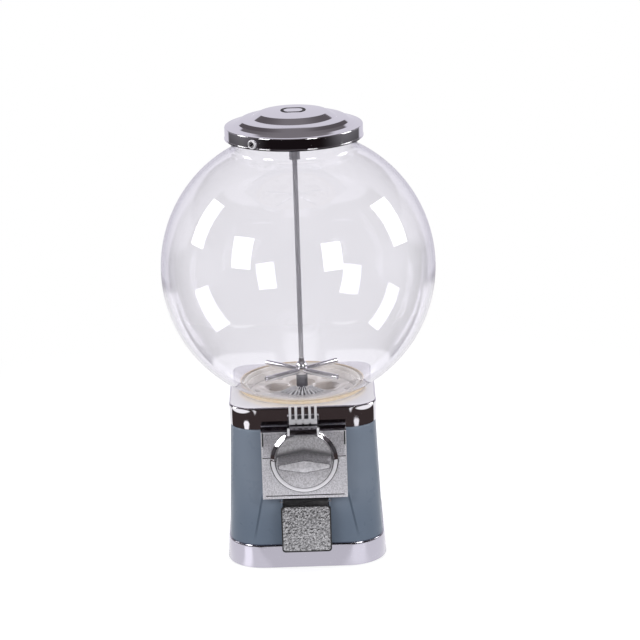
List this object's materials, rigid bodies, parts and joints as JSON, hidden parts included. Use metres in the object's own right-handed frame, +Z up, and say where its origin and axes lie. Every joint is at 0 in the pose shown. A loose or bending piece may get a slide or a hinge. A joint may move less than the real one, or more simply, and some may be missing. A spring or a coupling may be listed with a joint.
{
  "type": "gumball machine",
  "caption": "Coin-operated gumball machine: clear round globe with a chrome lid on a painted steel body, with a coin mechanism, turning wheel and flap door.",
  "frame": {"origin": "centre of the base, on the surface it stands on", "axes": "+Z up along the globe's axis, front with knob and door towards -Y, +X to the right seen from the front"},
  "size_m": [0.254, 0.2538, 0.4165],
  "materials": {
    "base_metal": "polished and lightly brushed",
    "body_paint": "smooth grey-blue paint",
    "bright_chrome": "polished",
    "dark_chrome": "dark polished",
    "hopper_plastic": "cream, glossy",
    "wheel_plastic": "ivory, satin",
    "black_plastic": "matt",
    "bristles": "white nylon",
    "sleeve_rubber": "dark blue-grey",
    "gasket_rubber": "tan, matt",
    "clear_plastic": "clear",
    "rod_steel": "drawn bar",
    "dark_steel": "oiled",
    "plated_steel": "zinc plated sheet",
    "fastener_steel": "plated",
    "cast_metal": "grainy die casting",
    "inset_enamel": "dark, glossy, bare",
    "gear_brass": "machined",
    "door_frame": "black",
    "hammered_metal": "hammered silver-grey"
  },
  "bodies": {
    "cabinet": {"base_pan": "base_metal", "base_washer": "fastener_steel", "base_nut": "fastener_steel", "body_shell": "body_paint", "top_collar": "bright_chrome", "hopper": "hopper_plastic", "brush_housing": "black_plastic", "brush_bristles": "bristles", "center_rod": "rod_steel", "rod_coupling": "dark_steel", "lock_bar": "plated_steel", "bar_screw": "fastener_steel", "globe": "clear_plastic", "globe_gasket": "gasket_rubber", "faceplate": "cast_metal", "guard_ring": "bright_chrome", "coin_entry": "dark_chrome", "coin_guide": "bright_chrome", "mech_housing": "cast_metal", "mech_screws": "fastener_steel", "mech_clips": "plated_steel", "clip_screws": "fastener_steel", "ratchet_pawl": "plated_steel", "pawl_screw": "fastener_steel", "chute": "black_plastic", "chute_screws": "fastener_steel", "door_pin": "fastener_steel"},
    "lid": {"lid": "bright_chrome", "lid_inset": "inset_enamel", "lock_barrel": "bright_chrome", "lock_nut": "fastener_steel"},
    "lid_lock": {"lock_plug": "dark_chrome", "lock_cam": "plated_steel", "cam_screw": "fastener_steel"},
    "knob": {"knob": "cast_metal", "coin_carrier": "cast_metal", "knob_shaft": "rod_steel", "ratchet_wheel": "dark_steel", "drive_gear": "gear_brass", "gear_pin": "fastener_steel"},
    "wheel": {"gumball_wheel": "wheel_plastic", "rod_bushing": "black_plastic", "agitator_sleeve": "sleeve_rubber", "agitator_arms": "rod_steel", "agitator_hub": "rod_steel"},
    "door": {"chute_door": "door_frame", "door_panel": "hammered_metal"}
  },
  "joints": [
    {"name": "lid_lift", "type": "slide", "parent": "cabinet", "child": "lid", "axis": [0, 0, 1], "range_m": [0, 0.06]},
    {"name": "lock_turn", "type": "hinge", "parent": "lid", "child": "lid_lock", "pos_m": [0, 0, 0.3968], "axis": [0.5878, 0.809, 0], "range_deg": [0, 180]},
    {"name": "knob_turn", "type": "hinge", "parent": "cabinet", "child": "knob", "pos_m": [0, -0.08, 0.107], "axis": [0, 1, 0], "continuous": true, "deforming": ["ratchet_pawl"]},
    {"name": "wheel_spin", "type": "hinge", "parent": "cabinet", "child": "wheel", "pos_m": [0, 0, 0.13], "axis": [0, 0, 1], "continuous": true},
    {"name": "door_swing", "type": "hinge", "parent": "cabinet", "child": "door", "pos_m": [0, -0.075, 0.0655], "axis": [-1, 0, 0], "range_deg": [0, 70]}
  ],
  "couplings": [
    {"joint": "wheel_spin", "follows": "knob_turn", "ratio": 0.16667}
  ]
}
